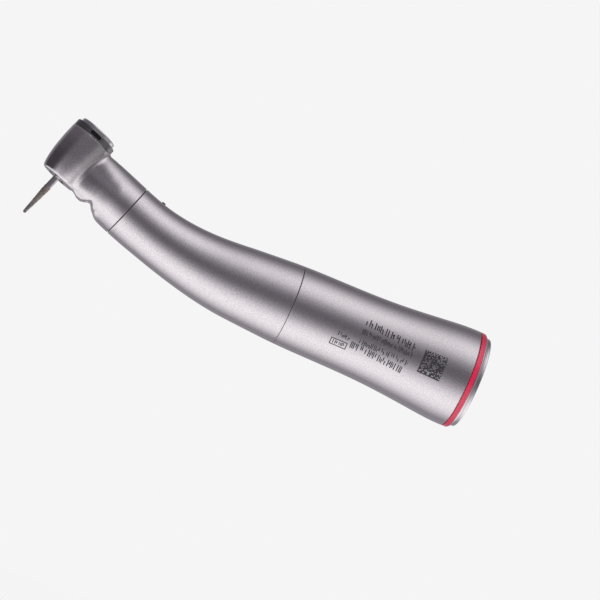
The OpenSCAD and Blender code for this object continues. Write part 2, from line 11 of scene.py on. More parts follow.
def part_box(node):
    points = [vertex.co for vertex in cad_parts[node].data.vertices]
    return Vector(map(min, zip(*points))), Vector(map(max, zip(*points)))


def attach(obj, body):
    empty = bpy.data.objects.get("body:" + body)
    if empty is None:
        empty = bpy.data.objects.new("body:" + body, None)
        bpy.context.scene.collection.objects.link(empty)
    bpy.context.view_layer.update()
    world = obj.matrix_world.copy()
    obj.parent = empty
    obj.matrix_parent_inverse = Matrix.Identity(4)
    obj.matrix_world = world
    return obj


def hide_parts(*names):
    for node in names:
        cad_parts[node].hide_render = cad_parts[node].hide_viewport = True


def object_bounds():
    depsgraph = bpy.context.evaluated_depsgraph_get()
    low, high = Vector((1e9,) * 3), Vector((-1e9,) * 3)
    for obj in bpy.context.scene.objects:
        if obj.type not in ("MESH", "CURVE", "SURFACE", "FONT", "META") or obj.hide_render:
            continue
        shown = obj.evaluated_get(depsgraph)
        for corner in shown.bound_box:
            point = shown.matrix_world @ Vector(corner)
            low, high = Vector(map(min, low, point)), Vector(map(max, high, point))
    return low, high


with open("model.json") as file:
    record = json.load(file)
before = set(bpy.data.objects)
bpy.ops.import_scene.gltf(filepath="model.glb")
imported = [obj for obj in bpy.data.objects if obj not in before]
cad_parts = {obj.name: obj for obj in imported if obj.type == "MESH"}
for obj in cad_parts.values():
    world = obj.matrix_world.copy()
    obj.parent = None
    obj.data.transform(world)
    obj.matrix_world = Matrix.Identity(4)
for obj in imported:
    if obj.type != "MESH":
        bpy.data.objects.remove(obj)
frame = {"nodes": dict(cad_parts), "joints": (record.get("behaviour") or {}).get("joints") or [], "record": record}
cad_lo, cad_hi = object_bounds()
rec = frame["record"]
JOINT = {j["name"]: j for j in frame["joints"]}
MM = 0.001
TAU = 2 * math.pi


def unit(v):
    v = np.array(v, float)
    return v / np.linalg.norm(v)


# head frame: B along the neck rearwards, Y, C along the bur axis to the button
H = np.array(JOINT["spindle_spin"]["pos_m"], float)
C = unit(JOINT["spindle_spin"]["axis"])
B = unit(JOINT["countershaft_spin"]["axis"])
Y = np.array([0.0, 1.0, 0.0])
BEND = math.degrees(math.atan2(-B[2], B[0]))

# ---- curves of the outside, in millimetres ----------------------------------


def pchip(xk, yk, x):
    xk, yk = np.array(xk, float), np.array(yk, float)
    h = np.diff(xk)
    d = np.diff(yk) / h
    m = np.zeros(len(xk))
    for i in range(1, len(xk) - 1):
        if d[i - 1] * d[i] > 0:
            w1, w2 = 2 * h[i] + h[i - 1], h[i] + 2 * h[i - 1]
            m[i] = (w1 + w2) / (w1 / d[i - 1] + w2 / d[i])
    m[0], m[-1] = d[0], d[-1]
    i = np.clip(np.searchsorted(xk, x) - 1, 0, len(h) - 1)
    t = (x - xk[i]) / h[i]
    return ((1 + 2 * t) * (1 - t) ** 2 * yk[i] + t * (1 - t) ** 2 * h[i] * m[i]
            + t * t * (3 - 2 * t) * yk[i + 1] + t * t * (t - 1) * h[i] * m[i + 1])


class Curve:
    """Smoothed table through the given points."""

    def __init__(self, pts, sigma, step=0.02, pad=3.0):
        xk, yk = zip(*pts)
        n = int((xk[-1] - xk[0] + 2 * pad) / step) + 1
        self.x = np.linspace(xk[0] - pad, xk[-1] + pad, n)
        inside = np.clip(self.x, xk[0], xk[-1])
        v = pchip(xk, yk, inside)
        s0 = (yk[1] - yk[0]) / (xk[1] - xk[0])
        s1 = (yk[-1] - yk[-2]) / (xk[-1] - xk[-2])
        v += np.where(self.x < xk[0], (self.x - xk[0]) * s0, 0)
        v += np.where(self.x > xk[-1], (self.x - xk[-1]) * s1, 0)
        k = int(4 * sigma / step) + 1
        g = np.exp(-0.5 * (np.arange(-k, k + 1) * step / sigma) ** 2)
        self.y = np.convolve(np.pad(v, k, mode="edge"), g / g.sum(), mode="valid")

    def __call__(self, x):
        return np.interp(x, self.x, self.y)


SKIN = Curve([(-74.6, 5.58), (-72, 5.57), (-69, 5.57), (-65, 5.74), (-61, 6.05), (-57, 6.45),
              (-53, 6.89), (-49, 7.27), (-45, 7.56), (-41, 7.83), (-38.6, 7.96), (-34, 8.08),
              (-28.5, 8.13), (-23.7, 8.22), (-18.8, 8.44), (-15, 8.74), (-11.2, 9.10),
              (-7.3, 9.50), (-5.4, 9.66), (-3.6, 9.75), (-2.3, 9.75)], 0.9)

APEX = float(-H[0] / MM - (H[2] / MM) / math.tan(math.radians(BEND)))
APEX = round(APEX, 3)
NECK = float((H[2] / MM) / math.sin(math.radians(BEND)))
HEAD_LEN = 14.1
SEAM_X = float(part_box("neck_sheath")[1].x / MM) + 0.04
RUN = NECK - HEAD_LEN
BEND_R = RUN / math.tan(math.radians(BEND / 2))
ARC_X0 = -APEX + RUN
ARC_LEN = BEND_R * math.radians(BEND)
SHEATH = ARC_LEN + (SEAM_X - ARC_X0)


def centre(s):
    """Centre line of the neck at s: x, z and tilt in radians."""
    t = np.clip(1 - s / ARC_LEN, 0, 1) * math.radians(BEND)
    x = np.where(s < ARC_LEN, ARC_X0 - BEND_R * np.sin(t), ARC_X0 + s - ARC_LEN)
    z = np.where(s < ARC_LEN, BEND_R * (1 - np.cos(t)), 0)
    return x, z, t


# ---- mesh helpers -----------------------------------------------------------


def add_mesh(name, verts, faces, body, angle=32, smooth=True):
    me = bpy.data.meshes.new(name)
    me.from_pydata(np.asarray(verts, float).tolist(), [], [tuple(int(i) for i in f) for f in faces])
    me.update()
    o = bpy.data.objects.new(name, me)
    bpy.context.scene.collection.objects.link(o)
    if smooth:
        me.shade_smooth()
        me.set_sharp_from_angle(angle=math.radians(angle))
    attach(o, body)
    return o


def fix_normals(o):
    import bmesh
    bm = bmesh.new()
    bm.from_mesh(o.data)
    bmesh.ops.recalc_face_normals(bm, faces=bm.faces)
    bm.to_mesh(o.data)
    bm.free()
    o.data.update()


def rounded(pts, closed=True, seg=5, hold=0.35):
    """Points (u, v, radius) with each corner of radius > 0 turned into an arc; long straights get holding points."""
    P = [np.array(p[:2], float) for p in pts]
    R = [p[2] if len(p) > 2 else 0 for p in pts]
    n = len(P)
    out = []
    for i in range(n):
        a, b, c = P[i - 1], P[i], P[(i + 1) % n]
        if R[i] <= 0 or (not closed and i in (0, n - 1)):
            out.append(b)
            continue
        la, lc = np.linalg.norm(a - b), np.linalg.norm(c - b)
        t = min(R[i], 0.48 * la, 0.48 * lc)
        p, q = b + (a - b) / la * t, b + (c - b) / lc * t
        for k in range(seg + 1):
            w = k / seg
            out.append((1 - w) ** 2 * p + 2 * w * (1 - w) * b + w * w * q)
    res = []
    m = len(out)
    for i in range(m):
        a = out[i]
        res.append(a)
        if not closed and i == m - 1:
            break
        b = out[(i + 1) % m]
        length = np.linalg.norm(b - a)
        if length > hold:
            e = min(0.04, length / 5)
            k = max(1, int(length / 0.8))
            res.append(a + (b - a) * (e / length))
            for j in range(1, k):
                res.append(a + (b - a) * (j / k))
            res.append(b - (b - a) * (e / length))
    return np.array(res)


def place_head(p):
    """Local head coordinates in mm to the row frame in metres."""
    return H + MM * (p[:, :1] * B + p[:, 1:2] * Y + p[:, 2:3] * C)


def place_row(p):
    return p * MM


def ring_faces(m, n, closed):
    i = np.arange(m if closed else m - 1)[:, None]
    j = np.arange(n)[None, :]
    i2, j2 = (i + 1) % m, (j + 1) % n
    return np.stack([i * n + j, i * n + j2, i2 * n + j2, i2 * n + j], -1).reshape(-1, 4)


def lathe(name, prof, body, axis="z", n=160, place=place_row, closed=True, angle=32, warp=None):
    """Turned piece. prof holds (radius, height); an open profile starts and ends on the axis."""
    prof = np.array(prof, float)
    th = TAU * np.arange(n) / n
    poles = []
    body_prof = prof
    if not closed:
        body_prof = prof[1:-1]
        poles = [prof[0], prof[-1]]
    r, h = body_prof[:, 0][:, None], body_prof[:, 1][:, None]
    r = np.repeat(r, n, 1)
    h = np.repeat(h, n, 1)
    if warp is not None:
        r, h = warp(r, h, np.repeat(th[None, :], len(body_prof), 0))
    c, s = np.cos(th)[None, :], np.sin(th)[None, :]
    if axis == "z":
        v = np.stack([r * c, r * s, h], -1).reshape(-1, 3)
    else:
        v = np.stack([h, r * c, r * s], -1).reshape(-1, 3)
    m = len(body_prof)
    f = [tuple(q) for q in ring_faces(m, n, closed)]
    for k, p in enumerate(poles):
        e = [0, 0, p[1]] if axis == "z" else [p[1], 0, 0]
        v = np.vstack([v, e])
        base = 0 if k == 0 else (m - 1) * n
        for j in range(n):
            f.append((len(v) - 1, base + j, base + (j + 1) % n) if k
                     else (len(v) - 1, base + (j + 1) % n, base + j))
    o = add_mesh(name, place(v), f, body, angle)
    fix_normals(o)
    o.data.shade_smooth()
    o.data.set_sharp_from_angle(angle=math.radians(angle))
    return o


# ---- head shell from an implicit solid --------------------------------------

HEAD_R = Curve([(-6, 3.30), (-4.5, 3.46), (-4.0, 3.62), (-3.2, 3.86), (-2.3, 4.06), (-1.3, 4.22),
                (-0.2, 4.36), (1.2, 4.46), (2.4, 4.52), (3.4, 4.54), (4.9, 4.54), (5.35, 4.50),
                (6.5, 4.48)], 0.25)
SEC = [(-1, 2.5, 5.0, 4.1), (1.5, 2.6, 5.15, 4.25), (3.4, 3.0, 5.3, 4.45), (4.5, 3.42, 5.34, 4.68),
       (5.4, 3.78, 5.46, 4.88), (6.15, 4.08, 5.5, 5.0), (7.1, 4.42, 5.53, 5.12),
       (7.85, 4.68, 5.55, 5.22), (8.35, 4.82, 5.56, 5.28), (9.46, 5.15, 5.57, 5.42),
       (10.4, 5.40, 5.58, 5.52), (11.2, 5.53, 5.58, 5.56), (12.4, 5.58, 5.58, 5.58),
       (15.0, 5.58, 5.58, 5.58)]
SEC_W = Curve([(a[0], a[1]) for a in SEC], 0.35)
SEC_T = Curve([(a[0], a[2]) for a in SEC], 0.30)
SEC_B = Curve([(a[0], a[3]) for a in SEC], 0.30)
UNDER = Curve([(-1, 4.3), (3.4, 4.3), (4.5, 4.52), (5.4, 4.90), (6.15, 4.80), (7.1, 4.15), (7.8, 3.62),
               (8.0, 3.62), (8.9, 4.36), (9.46, 4.80), (10.4, 5.36), (11.2, 5.75), (12.4, 6.2), (15, 6.6)], 0.12)
END_X = 13.74


def smin(a, b, k):
    h = np.maximum(k - np.abs(a - b), 0) / k
    return np.minimum(a, b) - h * h * h * k / 6


def smax(a, b, k):
    return -smin(-a, -b, k)


def cyl(u, v, w, r, lo, hi):
    """Distance to a cylinder along w."""
    return np.maximum(np.maximum(np.sqrt(u * u + v * v) - r, lo - w), w - hi)


def head_parts(x, y, z):
    rr = np.sqrt(x * x + y * y)
    barrel = (rr - HEAD_R(z)) * 0.985
    barrel = smax(barrel, -4.5 - z, 0.75)
    w = SEC_W(x)
    tb = np.where(z > 0, SEC_T(x), SEC_B(x))
    k1 = np.sqrt((y / w) ** 2 + (z / tb) ** 2) + 1e-6
    k2 = np.sqrt((y / w ** 2) ** 2 + (z / tb ** 2) ** 2) + 1e-6
    neck = np.maximum(k1 * (k1 - 1) / k2, 0.8 - x)
    t = np.clip((x - 8.5) / 1.4, 0, 1)
    t = t * t * (3 - 2 * t) * 0.72
    low = np.where(z < 0, np.sqrt((t * y) ** 2 + z * z), -z)
    neck = smax(neck, (low - UNDER(x)) * 0.8, 0.5)
    outer = smin(barrel, neck, 1.1)
    outer = smax(outer, z - 5.34 - np.clip((x - 3.6) * 0.35, 0, 0.5), 0.16)
    sa = math.sin(math.radians(38))
    ca = math.cos(math.radians(38))
    cuts = [
        cyl(x, y, z, 3.12, -4.05, 4.9),
        cyl(x, y, z, 3.62, 4.86, 7),
        cyl(x, y, z, 1.9, -7, -3.8),
        cyl(y, z, x, 2.62, 0, 6.25),
        cyl(y, z, x, 3.02, 6.2, 11.6),
        cyl(y, z, x, 5.1, 11.5, 16),
        cyl(y, z + 4.25, x, 0.52, 6.4, 11.6),
    ]
    for q in (-1, 1):
        cuts.append(cyl(y - q * 4.3 * sa, z + 4.3 * ca, x, 0.42, 10.7, 11.6))
    for a in (60, 180, 300):
        ax, ay = 2.5 * math.cos(math.radians(a)), 2.5 * math.sin(math.radians(a))
        cuts.append(cyl(x - ax, y - ay, z, 0.26, -5.5, -3.9))
    return [outer, x - END_X] + [-c for c in cuts]


def surface_nets(parts, lo, hi, h, relax=3):
    n = [int(math.ceil((b - a) / h)) + 1 for a, b in zip(lo, hi)]
    ax = [lo[i] + h * np.arange(n[i]) for i in range(3)]
    F = np.empty(n, np.float32)
    yy, zz = np.meshgrid(ax[1], ax[2], indexing="ij")
    for i, x in enumerate(ax[0]):
        p = parts(np.full(yy.shape, x), yy, zz)
        F[i] = np.max(np.stack(p), 0)
    ins = F < 0
    cnt = np.zeros([k - 1 for k in n], np.int8)
    for dx in (0, 1):
        for dy in (0, 1):
            for dz in (0, 1):
                cnt += ins[dx:n[0] - 1 + dx, dy:n[1] - 1 + dy, dz:n[2] - 1 + dz]
    cell = (cnt > 0) & (cnt < 8)
    idx = np.full(cell.shape, -1, np.int64)
    ci = np.argwhere(cell)
    idx[cell] = np.arange(len(ci))
    acc = np.zeros((len(ci), 3))
    num = np.zeros(len(ci))
    corners = [(a, b, c) for a in (0, 1) for b in (0, 1) for c in (0, 1)]
    for a in corners:
        for d in range(3):
            if a[d]:
                continue
            b = list(a)
            b[d] = 1
            fa = F[ci[:, 0] + a[0], ci[:, 1] + a[1], ci[:, 2] + a[2]].astype(float)
            fb = F[ci[:, 0] + b[0], ci[:, 1] + b[1], ci[:, 2] + b[2]].astype(float)
            m = (fa < 0) != (fb < 0)
            t = np.where(m, fa / np.where(m, fa - fb, 1), 0)
            p = np.array(a, float)[None] + t[:, None] * (np.array(b) - np.array(a))[None]
            acc[m] += p[m]
            num[m] += 1
    V = np.array(lo) + h * (ci + acc / num[:, None])
    quads = []
    for d in range(3):
        e = [(d + 1) % 3, (d + 2) % 3]
        s0 = [slice(None)] * 3
        s1 = [slice(None)] * 3
        s0[d], s1[d] = slice(0, n[d] - 1), slice(1, n[d])
        A, Bb = ins[tuple(s0)], ins[tuple(s1)]
        ch = np.argwhere(A != Bb)
        ok = (ch[:, e[0]] > 0) & (ch[:, e[1]] > 0) & (ch[:, e[0]] < n[e[0]] - 1) & (ch[:, e[1]] < n[e[1]] - 1)
        ch = ch[ok]
        a_in = A[ch[:, 0], ch[:, 1], ch[:, 2]]
        q = []
        for o0, o1 in ((-1, -1), (0, -1), (0, 0), (-1, 0)):
            c = ch.copy()
            c[:, e[0]] += o0
            c[:, e[1]] += o1
            q.append(idx[c[:, 0], c[:, 1], c[:, 2]])
        q = np.stack(q, 1)
        q[~a_in] = q[~a_in][:, ::-1]
        quads.append(q)
    Q = np.vstack(quads)
    Q = Q[(Q >= 0).all(1)]

    def vals(P):
        return np.stack(parts(P[:, 0], P[:, 1], P[:, 2]), 1)

    def grads(P, which):
        g = np.empty(P.shape)
        r = np.arange(len(P))
        for d in range(3):
            e = np.zeros(3)
            e[d] = 2e-3
            g[:, d] = (vals(P + e)[r, which] - vals(P - e)[r, which]) / 4e-3
        return g

    def project(P, feature_only=False):
        f = vals(P)
        r = np.arange(len(P))
        order = np.argsort(-f, axis=1)
        i0, i1 = order[:, 0], order[:, 1]
        g0 = grads(P, i0)
        f0 = f[r, i0]
        n0 = (g0 * g0).sum(1) + 1e-9
        step = -(f0 / n0)[:, None] * g0
        near = f[r, i1] > -0.55 * h
        if near.any():
            k = np.where(near)[0]
            g1 = grads(P[k], i1[k])
            f1 = f[k, i1[k]]
            a, b, c = n0[k], (g0[k] * g1).sum(1), (g1 * g1).sum(1)
            det = a * c - b * b
            good = det > 0.05 * a * c
            w0 = (c * f0[k] - b * f1) / np.where(good, det, 1)
            w1 = (a * f1 - b * f0[k]) / np.where(good, det, 1)
            two = -(w0[:, None] * g0[k] + w1[:, None] * g1)
            kk = k[good]
            step[kk] = two[good]
            near[:] = False
            near[kk] = True
        L = np.linalg.norm(step, axis=1, keepdims=True)
        step *= np.minimum(1, 0.7 * h / np.maximum(L, 1e-12))
        return P + step, near

    V, feat = project(V)
    edges = np.vstack([Q[:, [0, 1]], Q[:, [1, 2]], Q[:, [2, 3]], Q[:, [3, 0]]])
    edges = np.vstack([edges, edges[:, ::-1]])
    deg = np.bincount(edges[:, 0], minlength=len(V)).astype(float)
    for _ in range(relax):
        avg = np.stack([np.bincount(edges[:, 0], weights=V[edges[:, 1], d], minlength=len(V)) for d in range(3)], 1)
        avg /= np.maximum(deg, 1)[:, None]
        V = np.where(feat[:, None], V, V * 0.4 + avg * 0.6)
        V, feat = project(V)
    V, feat = project(V)
    return V, Q


step = 0.1
hv, hq = surface_nets(head_parts, (-4.9, -5.85, -5.85), (14.0, 5.85, 5.85), step)
head = add_mesh("head_shell", place_head(hv), hq, "handpiece", 38)
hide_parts("head_housing")

rim = lathe("head_joint_rim", rounded([
    (5.12, 13.4), (5.50, 13.4), (5.50, 13.70), (5.58, END_X - 0.02), (5.58, 14.025, 0.06), (5.16, 14.025),
    (5.12, 14.0)]), "handpiece", axis="x", n=220, place=place_head)

# near-black ring set into the head/neck joint gap: painted shade of the seam, not a real seal
seam = lathe("head_seam_line", rounded([(5.13, 14.0), (5.34, 14.0), (5.34, 14.2), (5.13, 14.2)], hold=5),
             "handpiece", axis="x", n=160, place=place_head)

# ---- neck sheath ------------------------------------------------------------


def sweep(name, s, r, body, n=220, angle=32):
    th = TAU * np.arange(n) / n
    x, z, t = centre(np.array(s, float))
    r = np.array(r, float)
    c, sn = np.cos(th)[None], np.sin(th)[None]
    u = r[:, None] * sn
    v = np.stack([x[:, None] + u * np.sin(t)[:, None],
                  r[:, None] * c + 0 * u,
                  z[:, None] + u * np.cos(t)[:, None]], -1).reshape(-1, 3)
    o = add_mesh(name, v * MM, ring_faces(len(s), n, True), body, angle)
    fix_normals(o)
    o.data.shade_smooth()
    o.data.set_sharp_from_angle(angle=math.radians(angle))
    return o


s_out = np.concatenate([[0.085, 0.095, 0.12, 0.16, 0.24], np.linspace(0.45, SHEATH - 0.45, 130),
                        [SHEATH - 0.2, SHEATH - 0.11, SHEATH - 0.07, SHEATH - 0.045, SHEATH - 0.035]])
drop = np.array([0.10, 0.05, 0.02, 0.0, 0.0] + [0.0] * 130 + [0.0, 0.0, 0.02, 0.05, 0.10])
r_out = SKIN(centre(s_out)[0]) - drop
s_in = np.linspace(SHEATH - 0.035, 0.085, 60)
r_in = SKIN(centre(s_in)[0]) - np.where(s_in < 0.5, 0.2, 0.55)
sheath = sweep("neck_shell", np.concatenate([s_out, s_in]), np.concatenate([r_out, r_in]), "handpiece")
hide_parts("neck_sheath")

# screw plug on top of the neck
PS = 4.5
px, pz, pt = (float(a) for a in centre(np.array(PS)))
pr = float(SKIN(px))
plug_up = np.array([math.sin(pt), 0, math.cos(pt)])
plug_fw = np.array([math.cos(pt), 0, -math.sin(pt)])


def place_plug(p):
    return MM * (np.array([px, 0, pz]) + p[:, :1] * plug_fw + p[:, 1:2] * Y + p[:, 2:3] * plug_up)


plug = lathe("neck_plug_screw", rounded([
    (0, pr - 0.5), (0.40, pr - 0.5), (0.40, pr + 0.25, 0.09), (0.2, pr + 0.25, 0.03), (0.17, pr + 0.12), (0, pr + 0.12)],
    closed=False, hold=0.5), "handpiece", n=48, place=place_plug, closed=False)
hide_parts("neck_plug")

# ---- rear sleeve ------------------------------------------------------------

xs = np.concatenate([np.linspace(SEAM_X + 0.2, -3.0, 150), [-2.8, -2.6, -2.48]])
outer = [(float(SKIN(x)), float(x)) for x in xs]
sx = SEAM_X
rs = float(SKIN(sx))
sleeve_prof = ([(6.5, -42.5), (7.05, -42.5), (7.05, sx + 0.04), (rs - 0.10, sx + 0.035), (rs - 0.05, sx + 0.045),
                (rs - 0.02, sx + 0.07), (rs, sx + 0.11)] + outer
               + [(9.73, -2.41), (9.70, -2.36), (9.64, -2.335), (9.58, -2.33)]
               + [(8.65, -2.33), (8.65, -5.1), (8.56, -6.2), (7.96, -12.1), (7.44, -20), (7.34, -27), (7.34, -36),
                  (6.5, -38.5)])
sleeve = lathe("rear_shell", np.array(sleeve_prof), "handpiece", axis="x", n=256)
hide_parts("rear_sleeve")

ring = lathe("speed_ring", rounded([
    (8.65, -2.2), (9.735, -2.2, 0.10), (9.70, -1.22, 0.10), (8.65, -1.22)], seg=7), "handpiece", axis="x", n=256)
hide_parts("colour_ring")

end = lathe("mouth_ring", rounded([
    (7.8, -5.0), (8.62, -5.0), (8.62, -1.2), (9.49, -1.2, 0.05), (9.53, -1.04, 0.07), (9.14, -0.70, 0.05),
    (8.95, -0.68, 0.05), (8.95, -0.55, 0.04), (9.05, -0.50, 0.04), (9.05, -0.09, 0.07), (8.95, 0.0, 0.06),
    (7.86, 0.0, 0.05), (7.8, -0.08, 0.04)], seg=4), "handpiece", axis="x", n=256)
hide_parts("end_ring")

# ---- cap ring with two key slots, and the button ----------------------------

z_lin = lambda a, b, k: [(4.48, float(q), 0) for q in np.linspace(a, b, k)]
cap_prof = rounded([(1.7, 4.95), (3.56, 4.95), (3.56, 5.37), (4.40, 5.37), (4.455, 5.385), (4.478, 5.41)]
                   + z_lin(5.44, 6.44, 44)
                   + [(4.46, 6.50), (4.42, 6.55), (4.36, 6.585), (4.28, 6.6), (3.97, 6.6, 0.03), (3.93, 6.5), (4.08, 6.5),
                      (4.08, 5.85), (3.0, 5.85), (3.0, 5.15), (1.7, 5.15)], hold=5)


def cut_slots(r, h, th):
    depth = np.zeros(r.shape)
    for a in (math.pi / 2, 3 * math.pi / 2):
        u = (th - a) * 4.48
        d = np.sqrt(np.maximum(np.abs(u) - 0.86, 0) ** 2 + (h - 6.02) ** 2) - 0.36
        depth = np.maximum(depth, np.clip((0.02 - d) / 0.05, 0, 1))
    return np.where(r > 4.40, r - 0.22 * depth, r), h


cap = lathe("cap_collar", cap_prof, "handpiece", n=640, place=place_head, warp=cut_slots, angle=40)
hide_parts("cap_ring")
# faces inside the two key slots; they get near-black steel as painted shade
slot_shade_faces = []
for f in cap.data.polygons:
    q = np.mean([cap.data.vertices[i].co[:] for i in f.vertices], 0) / MM - H / MM
    hz = q @ C
    rq = np.linalg.norm(q - hz * C)
    if 4.20 < rq < 4.43 and 5.55 < hz < 6.48:
        slot_shade_faces.append(f.index)

top = float(max(v.co.dot(Vector(C)) for v in frame["nodes"]["push_button"].data.vertices) - H @ C) / MM
button = lathe("button_cap", rounded([
    (0, 5.45), (1.0, 5.45), (1.0, 6.33), (4.05, 6.33), (4.05, 6.48), (3.88, 6.48), (3.88, top, 0.34),
    (3.3, top - 0.01, 0.12), (2.9, top - 0.10, 0.2), (0, top - 0.13)], closed=False, seg=8),
    "push_button", n=200, place=place_head, closed=False)
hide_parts("push_button")

# ---- bur --------------------------------------------------------------------

tip = -13.65
shank_prof = rounded([
    (0, 4.68), (0.74, 4.68, 0.02), (0.80, 4.60, 0.02), (0.80, -4.2, 0.05), (0.64, -4.46, 0.05), (0.64, -6.95, 0.0),
    (0.60, -6.97), (0.30, -13.2), (0, -13.45)], closed=False)
shank = lathe("bur_stem", shank_prof, "bur", n=72, place=place_head, closed=False)
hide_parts("bur_shank")

rng = np.random.default_rng(11)
n_th, n_s = 120, 190
core_r, tip_r, z0, z1 = 0.735, 0.36, -6.96, tip + 0.36
side = [(core_r + (tip_r - core_r) * k / (n_s - 40), z0 + (z1 - z0) * k / (n_s - 40)) for k in range(n_s - 40)]
side += [(tip_r * math.cos(a), z1 - tip_r * math.sin(a)) for a in np.linspace(0, math.pi / 2 * 0.97, 40)]
prof = np.array([(0.5, z0), (0.66, z0 + 0.0), (0.70, z0 - 0.015)] + side)
th = TAU * np.arange(n_th) / n_th


def grit(rows, cols, size_r, size_c, seed):
    g = np.random.default_rng(seed)
    a = g.random((rows // size_r + 3, cols // size_c))
    a = np.repeat(np.repeat(a, size_r, 0), size_c, 1)
    return a[:rows, :cols]


rows = len(prof)
noise = (0.55 * grit(rows, n_th, 3, 3, 5) + 0.30 * grit(rows, n_th, 2, 2, 6) + 0.15 * grit(rows, n_th, 1, 1, 7))
noise = (noise + np.roll(noise, 1, 1) + np.roll(noise, 1, 0)) / 3
noise[:3] *= 0.3
amp = np.interp(np.arange(rows), [0, 4, rows - 40, rows - 1], [0.02, 0.12, 0.12, 0.03])
rad = prof[:, :1] - amp[:, None] * (1 - noise) * 1.15 + 0.02 * (noise > 0.6)
rad = np.minimum(rad, prof[:, :1] + 0.0)
gv = np.stack([rad * np.cos(th)[None], rad * np.sin(th)[None], np.repeat(prof[:, 1:], n_th, 1)
               + 0.012 * (noise - 0.5)], -1).reshape(-1, 3)
gv[:, 2] = np.maximum(gv[:, 2], tip)
gf = [tuple(q) for q in ring_faces(rows, n_th, False)]
gv = np.vstack([gv, [[0, 0, z0]], [[0, 0, tip]]])
for j in range(n_th):
    gf.append((len(gv) - 2, (j + 1) % n_th, j))
    gf.append((len(gv) - 1, (rows - 1) * n_th + j, (rows - 1) * n_th + (j + 1) % n_th))
diamond = add_mesh("bur_grit", place_head(gv), gf, "bur", smooth=False)
fix_normals(diamond)
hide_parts("bur_diamond")

# ---- etched marks, as thin raised cells -------------------------------------

mv, mf = [], []


def plate(x0, x1, a0, a1, lift=0.012, sink=0.03):
    """Thin closed slabs on the sleeve between two X positions and two angles (0 faces -Y, + is up)."""
    nx, na = int(abs(x1 - x0) / 0.9) + 1, int(abs(a1 - a0) / 2.6) + 1
    if nx * na > 1:
        for i in range(nx):
            for j in range(na):
                slab(x0 + (x1 - x0) * i / nx, x0 + (x1 - x0) * (i + 1) / nx,
                     a0 + (a1 - a0) * j / na, a0 + (a1 - a0) * (j + 1) / na, lift, sink)
    else:
        slab(x0, x1, a0, a1, lift, sink)


def slab(x0, x1, a0, a1, lift, sink):
    base = len(mv)
    for x in (x0, x1):
        r = float(SKIN(x))
        for a in (a0, a1):
            for rr in (r - sink, r + lift):
                mv.append((x, -rr * math.cos(math.radians(a)), rr * math.sin(math.radians(a))))
    b = base
    mf.extend([(b, b + 1, b + 3, b + 2), (b + 4, b + 6, b + 7, b + 5), (b, b + 4, b + 5, b + 1),
               (b + 2, b + 3, b + 7, b + 6), (b + 1, b + 5, b + 7, b + 3), (b, b + 2, b + 6, b + 4)])


g = np.random.default_rng(23)
# square block of cells with two solid sides
NC = 20
for i in range(NC):
    for j in range(NC):
        on = i == 0 or j == 0 or (i == NC - 1 and j % 2 == 0) or (j == NC - 1 and i % 2 == 0)
        if not on and 0 < i < NC - 1 and 0 < j < NC - 1:
            on = g.random() < 0.64
        if on:
            xa, xb = -12.05 + 4.6 * i / NC, -12.05 + 4.6 * (i + 1) / NC
            aa, ab = -18.2 + 29.0 * j / NC, -18.2 + 29.0 * (j + 1) / NC
            plate(xa, xb + 0.01, aa, ab + 0.05)

# rows of meaningless short strokes
def strokes(x0, x1, a0, a1, count, height, seed, thick=0.17):
    g = np.random.default_rng(seed)
    pitch = (x1 - x0) / count
    spans = [(0, 1), (0, 1), (0, 0.62), (0.38, 1), (0.15, 0.85)]
    for k in range(count):
        xc = x0 + pitch * k
        ac = a0 + (a1 - a0) * k / count
        rr = float(SKIN(xc))
        da = math.degrees(height / rr)
        wdt = pitch * 0.60
        dt = math.degrees(thick / rr)
        for q in range(3):
            lo, hi = spans[g.integers(5)]
            if g.random() < (1.0, 0.6, 0.95)[q]:
                x = xc + wdt * q / 2
                plate(x, x + thick * 0.9, ac - da / 2 + da * lo, ac - da / 2 + da * hi)
        if g.random() < 0.45:
            plate(xc + pitch * 0.84, xc + pitch * 0.84 + thick, ac - dt / 2, ac + dt / 2)


strokes(-24.4, -14.1, 15.2, 7.0, 9, 1.45, 31, 0.25)
strokes(-24.5, -14.0, 1.6, -2.6, 12, 1.05, 32, 0.19)
strokes(-24.3, -14.3, -12.6, -14.0, 10, 1.10, 33, 0.19)
strokes(-25.6, -14.3, -21.0, -25.6, 11, 1.35, 34, 0.22)
# small outlined box and a stroke pair above it
for a, b, c, d in ((-29.5, -26.2, -22.6, -21.4), (-29.4, -26.1, -31.5, -30.3)):
    plate(a, b, c, d)
plate(-29.5, -29.32, -31.5, -21.4)
plate(-26.30, -26.12, -31.5, -21.4)
strokes(-29.0, -26.6, -26.2, -26.6, 3, 0.85, 35, 0.18)
strokes(-28.6, -26.2, -13.0, -15.2, 3, 0.85, 36, 0.18)
marks = add_mesh("etched_marks", np.array(mv) * MM, mf, "handpiece", smooth=False)
fix_normals(marks)

# ---- materials --------------------------------------------------------------


